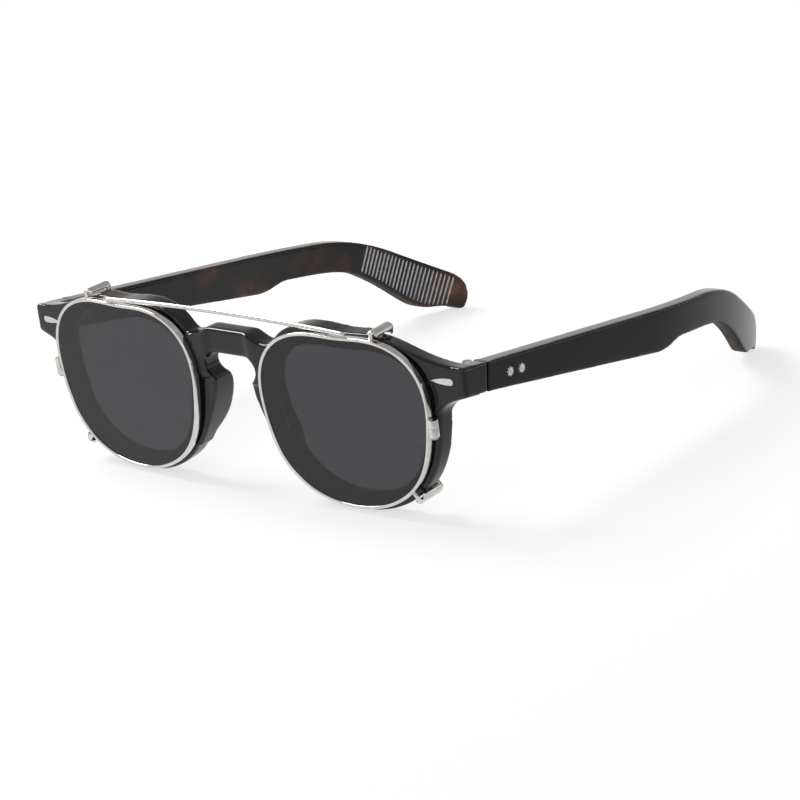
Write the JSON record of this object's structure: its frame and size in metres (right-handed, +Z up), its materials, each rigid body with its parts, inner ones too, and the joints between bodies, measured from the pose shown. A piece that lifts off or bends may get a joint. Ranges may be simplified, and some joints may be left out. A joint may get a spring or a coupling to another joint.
{
  "type": "spectacles with clip-on sun lenses",
  "caption": "Black acetate spectacles with a keyhole bridge and hinged temples, wearing a silver wire sun clip whose claws grip the rims and a straight brow bar across the top.",
  "frame": {"origin": "middle of the floor under the standing glasses: centre of the overall width and length, on the plane the rims and temple tips rest on", "axes": "+Z up, +Y back along the open temples, +X to the right of someone looking at the front"},
  "size_m": [0.141, 0.1526, 0.0474],
  "materials": {
    "acetate": "polished black acetate",
    "temple_acetate": "polished black acetate over dark tortoise on the inner side",
    "clear_lens": "clear polished",
    "sun_lens": "dark grey tinted, polished",
    "silver": "polished silver plating",
    "hinge_steel": "satin steel"
  },
  "bodies": {
    "frame": {"frame_front": "acetate", "nose_pad_right": "acetate", "optical_lens_right": "clear_lens", "front_plaque_right": "silver", "front_hinge_right": "hinge_steel", "hinge_screw_right": "hinge_steel", "nose_pad_left": "acetate", "optical_lens_left": "clear_lens", "front_plaque_left": "silver", "front_hinge_left": "hinge_steel", "hinge_screw_left": "hinge_steel"},
    "right_temple": {"temple_right": "temple_acetate", "temple_hinge_right": "hinge_steel", "temple_core_right": "hinge_steel", "temple_rivets_right": "silver"},
    "left_temple": {"temple_left": "temple_acetate", "temple_hinge_left": "hinge_steel", "temple_core_left": "hinge_steel", "temple_rivets_left": "silver"},
    "sun_clip": {"brow_bar": "silver", "clip_rim_right": "silver", "sun_lens_right": "sun_lens", "rim_lock_right": "silver", "rim_lock_screw_right": "hinge_steel", "top_claw_right": "silver", "bottom_claw_right": "silver", "clip_rim_left": "silver", "sun_lens_left": "sun_lens", "rim_lock_left": "silver", "rim_lock_screw_left": "hinge_steel", "top_claw_left": "silver", "bottom_claw_left": "silver"}
  },
  "joints": [
    {"name": "right_temple_fold", "type": "hinge", "parent": "frame", "child": "right_temple", "pos_m": [0.0644, -0.06111, 0.03504], "axis": [0, 0.0001, 1], "range_deg": [0, 85]},
    {"name": "left_temple_fold", "type": "hinge", "parent": "frame", "child": "left_temple", "pos_m": [-0.0644, -0.06111, 0.03504], "axis": [0, -0.0001, -1], "range_deg": [0, 70]},
    {"name": "clip_pull_off", "type": "slide", "parent": "frame", "child": "sun_clip", "axis": [0, -1, 0], "range_m": [0, 0.03], "deforming": ["top_claw_right", "bottom_claw_right", "top_claw_left", "bottom_claw_left"]}
  ]
}
